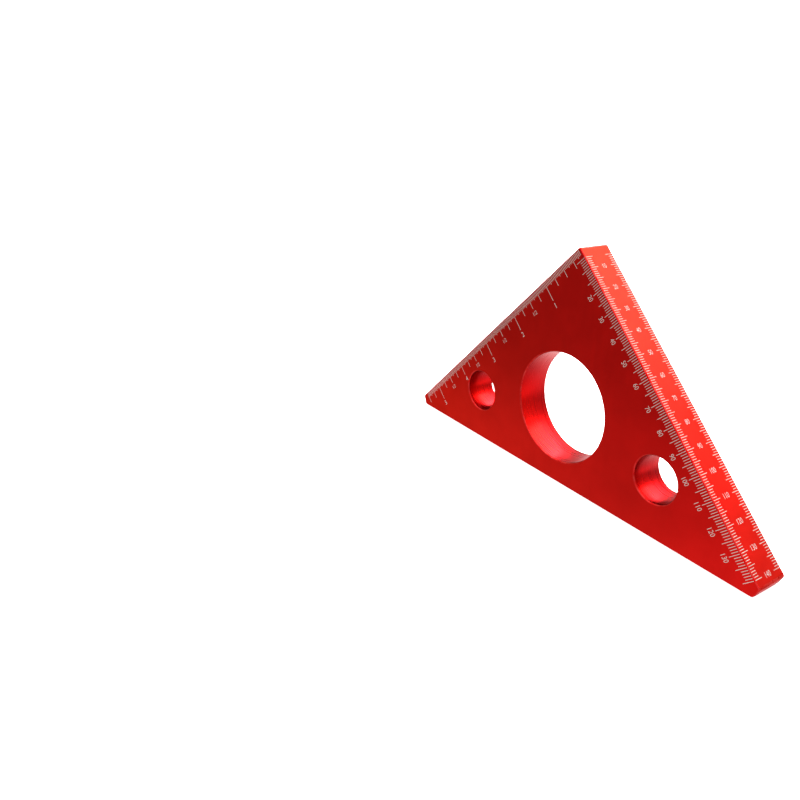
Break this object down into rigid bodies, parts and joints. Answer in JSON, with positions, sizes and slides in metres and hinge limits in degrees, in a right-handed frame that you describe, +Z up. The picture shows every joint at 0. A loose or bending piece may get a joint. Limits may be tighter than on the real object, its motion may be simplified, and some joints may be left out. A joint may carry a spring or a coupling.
{
  "type": "speed square",
  "caption": "Solid right-angled triangular layout block of anodised metal, with a metric scale on one leg, an inch scale on the other and round through holes.",
  "frame": {"origin": "middle of the long flat side it stands on, halfway through the thickness", "axes": "+X along the long side towards the metric leg's acute corner, +Y from the front face to the back face, +Z up from the long side to the right angle"},
  "size_m": [0.2026, 0.016, 0.1057],
  "materials": {
    "anodised_body": "satin red anodised, fine milled grain",
    "scale_enamel": "matt white enamel in engraved lines"
  },
  "bodies": {
    "root": {"back_centimetre_line_01": "scale_enamel", "back_centimetre_line_02": "scale_enamel", "back_centimetre_line_03": "scale_enamel", "back_centimetre_line_04": "scale_enamel", "back_centimetre_line_05": "scale_enamel", "back_centimetre_line_06": "scale_enamel", "back_centimetre_line_07": "scale_enamel", "back_centimetre_line_08": "scale_enamel", "back_centimetre_line_09": "scale_enamel", "back_centimetre_line_10": "scale_enamel", "back_centimetre_line_11": "scale_enamel", "back_centimetre_line_12": "scale_enamel", "back_centimetre_line_13": "scale_enamel", "back_centimetre_line_14": "scale_enamel", "back_half_inch_line_1": "scale_enamel", "back_half_inch_line_2": "scale_enamel", "back_half_inch_line_3": "scale_enamel", "back_half_inch_line_4": "scale_enamel", "back_half_inch_line_5": "scale_enamel", "back_half_inch_line_6": "scale_enamel", "back_inch_line_1": "scale_enamel", "back_inch_line_2": "scale_enamel", "back_inch_line_3": "scale_enamel", "back_inch_line_4": "scale_enamel", "back_inch_line_5": "scale_enamel", "body": "anodised_body", "front_centimetre_line_01": "scale_enamel", "front_centimetre_line_02": "scale_enamel", "front_centimetre_line_03": "scale_enamel", "front_centimetre_line_04": "scale_enamel", "front_centimetre_line_05": "scale_enamel", "front_centimetre_line_06": "scale_enamel", "front_centimetre_line_07": "scale_enamel", "front_centimetre_line_08": "scale_enamel", "front_centimetre_line_09": "scale_enamel", "front_centimetre_line_10": "scale_enamel", "front_centimetre_line_11": "scale_enamel", "front_centimetre_line_12": "scale_enamel", "front_centimetre_line_13": "scale_enamel", "front_centimetre_line_14": "scale_enamel", "front_half_inch_line_1": "scale_enamel", "front_half_inch_line_2": "scale_enamel", "front_half_inch_line_3": "scale_enamel", "front_half_inch_line_4": "scale_enamel", "front_half_inch_line_5": "scale_enamel", "front_half_inch_line_6": "scale_enamel", "front_inch_line_1": "scale_enamel", "front_inch_line_2": "scale_enamel", "front_inch_line_3": "scale_enamel", "front_inch_line_4": "scale_enamel", "front_inch_line_5": "scale_enamel"}
  },
  "joints": []
}
